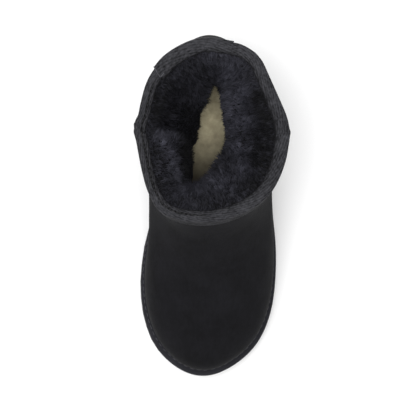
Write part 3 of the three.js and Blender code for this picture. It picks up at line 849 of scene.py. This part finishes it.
# depth below the collar in mm, and how far the pile has closed in from the collar to the gap by then
pileSlopes = {
    "outer": [(0, 0), (6, 0.04), (25, 0.12), (46, 0.30), (57, 0.55), (68, 0.82), (80, 0.97), (92, 1),
              (125, 1)],
    "inner": [(0, 0), (6, 0.05), (25, 0.12), (50, 0.22), (80, 0.52), (95, 0.86), (108, 1), (125, 1)],
    "front": [(0, 0), (5, 0.10), (18, 0.38), (35, 0.68), (52, 0.90), (65, 1), (90, 1.02), (125, 1.02)],
    "back": [(0, 0), (6, 0.08), (25, 0.28), (50, 0.56), (72, 0.84), (88, 1), (100, 1), (125, 1)],
    "shelf": [(0, 0), (5, 0.12), (16, 0.40), (26, 0.60), (34, 0.66), (84, 0.72), (99, 0.90), (110, 1),
              (125, 1)],
}
# where each slope holds: its middle and half its width, in degrees from the back over the outer side
pileSectors = {"back": (0, 35), "outer": (90, 50), "front": (178, 34), "shelf": (236, 24), "inner": (297, 34)}
pileCentre = np.array(fleeceLook["centre"]) * mm
pileTurns = np.linspace(0, 2 * math.pi, fleeceLook["turns"], endpoint=False)


def turnOf(points):
    return np.arctan2(points[..., 0] - pileCentre[0], points[..., 1] - pileCentre[1])


def radiusAround(points):
    reach = np.hypot(points[:, 0] - pileCentre[0], points[:, 1] - pileCentre[1])
    return np.interp(pileTurns, turnOf(points), reach, period=2 * math.pi)


def degreesFrom(middle):
    return np.abs((np.degrees(pileTurns) - middle + 180) % 360 - 180)


def pileRing(reach, height):
    x, y = pileCentre[0] + np.sin(pileTurns) * reach, pileCentre[1] + np.cos(pileTurns) * reach
    return np.stack([x, y, height], axis=1)


# How far the pile has closed in at each depth and turn: the sectors' slopes, blended
def closedShares(depths):
    weights = {name: np.exp(-(degreesFrom(middle) / half) ** 4) + 1e-4
               for name, (middle, half) in pileSectors.items()}
    total = sum(weights.values())
    closed = []
    for depth in depths:
        parts = [weight * np.interp(depth, *zip(*pileSlopes[name])) for name, weight in weights.items()]
        closed.append(sum(parts) / total)
    closed = np.array(closed)
    for _ in range(10):
        closed = smoothLoop(smoothRun(closed, 1).T, 1).T
    return closed


def pileWall():
    collar = radiusAround(smoothLoop(tapeHem, 30)) + fleeceLook["tuckOut"]
    top = np.interp(pileTurns, turnOf(tapeHem), tapeHem[:, 2], period=2 * math.pi) + fleeceLook["tuckUp"]
    well = smoothLoop(radiusAround(np.array(fleeceLook["well"]) * mm), 6)
    overToes = 1 - easeIn(30, 62, degreesFrom(187))
    bottom = fleeceLook["wellFoot"] + (fleeceLook["toeFoot"] - fleeceLook["wellFoot"]) * overToes
    shares = np.linspace(0, 1, fleeceLook["rows"]) ** 1.15
    least, most = fleeceLook["thick"]
    skin, back = [], []
    for share, shut in zip(shares, closedShares([(top - bottom) * share / mm for share in shares])):
        height = top - (top - bottom) * share
        reach = collar + (well - collar) * shut
        skin.append(pileRing(reach, height))
        behind = []
        for turn, near, high in zip(pileTurns, reach, height):
            way = Vector((math.sin(turn), math.cos(turn), 0))
            _, _, _, far = upperTree.ray_cast(Vector((*pileCentre, high)), way)
            behind.append(min((far if far is not None else 1) - fleeceLook["clear"], near + most))
        back.append(pileRing(np.maximum(np.array(behind), reach + least), height))
    skin, back = np.array(skin), np.array(back)
    grain = skin.reshape(-1, 3)
    size = fleeceLook["lumpSize"]
    lump = slowWave(grain, size, 21) + 0.5 * slowWave(grain, size / 2.3, 22)
    inward = -np.stack([np.sin(pileTurns), np.cos(pileTurns), np.zeros(len(pileTurns))], axis=1)
    fade = np.clip(np.linspace(0, 6, fleeceLook["rows"]), 0, 1)[:, None, None]
    skin = skin + fade * inward[None] * (lump * fleeceLook["lump"]).reshape(skin.shape[0], -1, 1)
    rows = list(skin) + list(back[::-1])
    piece = sweep("pileWall", [np.vstack([row, row[:1]]) for row in rows],
                  np.linspace(0, 0.3, fleeceLook["turns"] + 1), np.linspace(0, 0.3, len(rows)), True)
    return keepPiece(piece, 80, dyedWool("pressedPile", False)), skin


# How far out the pile wall's face stands at each point's turn and height; none below its foot
def pileReach(points):
    share = turnOf(points) % (2 * math.pi) / (2 * math.pi)
    column = np.round(share * fleeceLook["turns"]).astype(int) % fleeceLook["turns"]
    heights = pileSkin[:, column, 2]
    row = np.abs(heights - points[None, :, 2]).argmin(axis=0)
    near = np.hypot(*(pileSkin[row, column][:, :2] - pileCentre).T)
    return np.where(points[:, 2] < heights.min(axis=0) - 4 * mm, 0, near)


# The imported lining, set back where it would show through the pile wall
def makeCore():
    piece = copyOfNode("fleece", "fleeceCore", asQuads=False)
    applyModifier(piece, "REMESH", mode="VOXEL", voxel_size=fleeceLook["voxel"])
    applyModifier(piece, "SMOOTH", factor=0.6, iterations=3)
    points, _ = readShape(piece)
    away = points[:, :2] - pileCentre
    short = pileReach(points) + fleeceLook["setBack"] - np.hypot(*away.T)
    high = easeIn(32 * mm, 45 * mm, points[:, 2]) * (1 - easeIn(-30 * mm, -45 * mm, points[:, 1]))
    points[:, :2] += unit(away) * (np.clip(short, 0, 30 * mm) * high)[:, None]
    writePoints(piece, points)
    return keepPiece(piece, 80, dyedWool("feltedPile", False), "fleece")


wallOfPile, pileSkin = pileWall()
core = makeCore()
print("fleece core and pile wall ready", len(core.data.polygons), len(wallOfPile.data.polygons))


# Even draw of places on the pile wall's inner face, with the ways out of it and up it there
def drawRoots(count):
    grid = np.concatenate([pileSkin, pileSkin[:, :1]], axis=1)
    a, b, c, d = grid[:-1, :-1], grid[:-1, 1:], grid[1:, 1:], grid[1:, :-1]
    cross = np.cross(c - a, d - b)
    area = np.linalg.norm(cross, axis=2) / 2
    facing = unit(cross)
    inward = np.zeros_like(a)
    inward[..., :2] = pileCentre - a[..., :2]
    facing *= np.sign((facing * inward).sum(axis=2))[..., None]
    weight = (area * (0.5 + 0.5 * easeIn(35 * mm, 100 * mm, a[..., 2]))).ravel()
    chosen = rng.choice(weight.size, size=count, p=weight / weight.sum())
    u, v = rng.random((2, count, 1))
    a, b, c, d = (corner.reshape(-1, 3)[chosen] for corner in (a, b, c, d))
    spots = (a * (1 - u) + b * u) * (1 - v) + (d * (1 - u) + c * u) * v
    return spots, facing.reshape(-1, 3)[chosen], unit((a + b) - (c + d)), area.sum()


# A closed tapering strand has three sides, rings at the root and two bends, and a point:
# how far along each ring lies, its fatness, and how light each ring and the point are beside the tuft's tone
strandRings = {"shares": (0, 0.4, 0.75), "fat": (1, 0.8, 0.5), "sides": 3, "tones": (0.35, 0.75, 1.0, 1.2)}


def strandPiece(name, roots, facing, clumps, own):
    count, shares, sides = len(roots), strandRings["shares"], strandRings["sides"]
    clumpSpot, clumpWay, clumpTone, clumpLength = clumps
    owner = np.empty(count, dtype=int)
    for first in range(0, count, 1500):  # the nearest tuft, a batch at a time
        gap = ((roots[first:first + 1500, None] - clumpSpot[None]) ** 2).sum(axis=2)
        owner[first:first + 1500] = gap.argmin(axis=1)
    length = clumpLength[owner] * rng.uniform(0.65, 1.2, count)
    tip = clumpSpot[owner] + clumpWay[owner] * length[:, None] + rng.normal(0, 0.7 * mm, (count, 3))
    bend = unit(np.cross(own, rng.normal(size=(count, 3)))) * fleeceLook["curl"]
    bend *= rng.uniform(0.3, 1.4, count)[:, None]
    side = unit(np.cross(own, rng.normal(size=(count, 3))))
    other = unit(np.cross(own, side))
    perStrand = len(shares) * sides + 1
    points = np.empty((count, perStrand, 3))
    for r, share in enumerate((*shares, 1)):
        pull = fleeceLook["clumping"] * share
        free = roots - facing * 0.6 * mm + own * (length * share)[:, None]
        spot = free * (1 - pull) + (roots + (tip - roots) * share) * pull + bend * math.sin(share * 5.2)
        if share == 1:
            points[:, -1] = spot
            continue
        for k in range(sides):
            turn = 2 * math.pi * k / sides
            out = side * math.cos(turn) + other * math.sin(turn)
            points[:, r * sides + k] = spot + out * fleeceLook["root"] * strandRings["fat"][r]
    last = (len(shares) - 1) * sides
    quads = [(ring + k, ring + (k + 1) % sides, ring + sides + (k + 1) % sides, ring + sides + k)
             for ring in range(0, last, sides) for k in range(sides)]
    ends = [(2, 1, 0)] + [(last + k, last + (k + 1) % sides, perStrand - 1) for k in range(sides)]
    shift = (np.arange(count) * perStrand)[:, None, None]
    faces = [face for pattern in (quads, ends)
             for face in (np.array(pattern)[None] + shift).reshape(-1, len(pattern[0])).tolist()]
    piece = meshPiece(name, points.reshape(-1, 3), faces)
    # each strand takes its tuft's tone, painted light and shade included
    tone = np.clip(clumpTone[owner] + rng.normal(0, 0.12, count), 0, 1)
    along = np.append(np.repeat(strandRings["tones"][:-1], sides), strandRings["tones"][-1])
    tones = piece.data.attributes.new("tone", "FLOAT", "POINT")
    tones.data.foreach_set("value", np.clip(tone[:, None] * along, 0, 1).ravel())
    return piece


# Painted light and shade on the pile: lighter where it faces the light, darker where it lies in shade: x, y and
# size in mm, and how much lighter
paintedLightSpots = [
    (25, 67, 9.5, 0.64), (21, 84, 9, 0.55), (27, 90, 6, 0.30), (15, 104, 8, 0.35), (24, 46, 8, 0.48),
    (24, 29, 7, 0.42), (8, 17, 8, 0.30), (-8, 14, 8, 0.26), (-22, 12, 7, 0.34), (-28, 26, 6, 0.38),
    (-33, 38, 7, 0.34), (-36, 49, 7, 0.38), (5, 116, 10, 0.14), (46, 60, 11, -0.20), (41, 90, 12, -0.14),
    (43, 36, 12, -0.26), (-33, 66, 8, 0.05), (-41, 43, 5, -0.20), (-31, 18, 5, -0.25), (-16, 44, 9, -0.60),
    (-19, 29, 7, -0.60), (-46, 78, 14, -0.20), (45, 77, 12, -0.20), (35, 12, 9, -0.28),
]


def makeStrands():
    total = fleeceLook["strands"] // 1
    roots, facing, upward, area = drawRoots(total)
    clumpCount = int(area / fleeceLook["clumpArea"])
    chosen = rng.choice(total, size=min(clumpCount, total), replace=False)
    lean = upward * fleeceLook["lean"] * (1 - 0.7 * easeIn(125 * mm, 140 * mm, roots[:, 2]))[:, None]
    own = unit(facing + lean + rng.normal(0, 0.3, (total, 3)))
    spot = roots[chosen]
    way = unit(facing[chosen] + lean[chosen] + rng.normal(0, fleeceLook["spread"], (len(chosen), 3)))
    tone = fleeceLook["tone"] + fleeceLook["toneSway"] * slowWave(spot, fleeceLook["swaySize"], 33)
    tone += rng.normal(0, 0.06, len(chosen))
    tone -= fleeceLook["deepShade"] * (1 - easeIn(45 * mm, 80 * mm, spot[:, 2]))
    # painted light and shade, laid into the tufts' tones
    for x, y, size, more in paintedLightSpots:
        away = np.linalg.norm(spot[:, :2] - np.array((x, y)) * mm, axis=1)
        tone += more * np.exp(-(away / (size * mm)) ** 2)
    length = fleeceLook["length"] * rng.uniform(0.75, 1.2, len(chosen))
    length *= 1 - 0.45 * easeIn(138 * mm, 148 * mm, spot[:, 2])  # shorter beside the tape and deep down
    length *= 0.45 + 0.55 * easeIn(45 * mm, 75 * mm, spot[:, 2])
    pile = dyedWool("dyedPileWithPaintedLight", True)
    clumps, pieces = (spot, way, tone, length), []
    for k, part in enumerate(np.array_split(np.argsort(turnOf(roots)), 4)):
        piece = strandPiece(f"woolLocks{k + 1}", roots[part], facing[part], clumps, own[part])
        pieces.append(keepPiece(piece, 80, pile))
    return pieces


strands = makeStrands()
print("strands ready", sum(len(p.data.polygons) for p in strands))


# Floor, light and camera
stageLook = {"sky": 0.6, "floor": "#fbfbfb", "lamp": 68, "lampSize": 2.4, "lampAt": (-0.4, 0.0, 2.4)}
cameraLook = {"at": (-64.2, -4.7, 1700), "towards": (0, 0, 70), "seenWidth": 335, "sensor": 36}  # mm


def makeStage():
    bpy.ops.mesh.primitive_plane_add(size=30)
    floor = bpy.context.active_object
    floor.name = "floor"
    paper = newMaterial("matPaper", Base_Color=stageLook["floor"], Roughness=0.9, Specular_IOR_Level=0.1)
    floor.data.materials.append(paper[0])
    world = bpy.data.worlds.new("softbox")
    bpy.context.scene.world = world
    world.use_nodes = True
    sky = world.node_tree.nodes["Background"]
    sky.inputs[0].default_value = (1, 1, 1, 1)
    sky.inputs[1].default_value = stageLook["sky"]
    lamp = bpy.data.lights.new("overhead", "AREA")
    lamp.shape, lamp.size, lamp.energy = "DISK", stageLook["lampSize"], stageLook["lamp"]
    holder = bpy.data.objects.new("overhead", lamp)
    holder.location = stageLook["lampAt"]
    holder.rotation_euler = Vector(stageLook["lampAt"]).to_track_quat("Z", "Y").to_euler()
    bpy.context.scene.collection.objects.link(holder)
    bpy.context.scene.view_settings.view_transform = "Standard"


# The camera stands straight above, with +Y up in the picture
def makeCamera():
    place, target = Vector(cameraLook["at"]) * mm, Vector(cameraLook["towards"]) * mm
    forward = (target - place).normalized()
    right = forward.cross(Vector((0, 1, 0))).normalized()
    upward = right.cross(forward)
    camera = bpy.data.objects.new("camera", bpy.data.cameras.new("camera"))
    turned = camera.matrix_world.copy()
    for row in range(3):
        turned[row][:] = right[row], upward[row], -forward[row], place[row]
    camera.matrix_world = turned
    camera.data.sensor_width = cameraLook["sensor"]
    camera.data.lens = cameraLook["sensor"] * cameraLook["at"][2] / cameraLook["seenWidth"]
    camera.data.clip_end = 100
    bpy.context.scene.collection.objects.link(camera)
    bpy.context.scene.camera = camera


makeStage()
makeCamera()
bpy.context.view_layer.update()
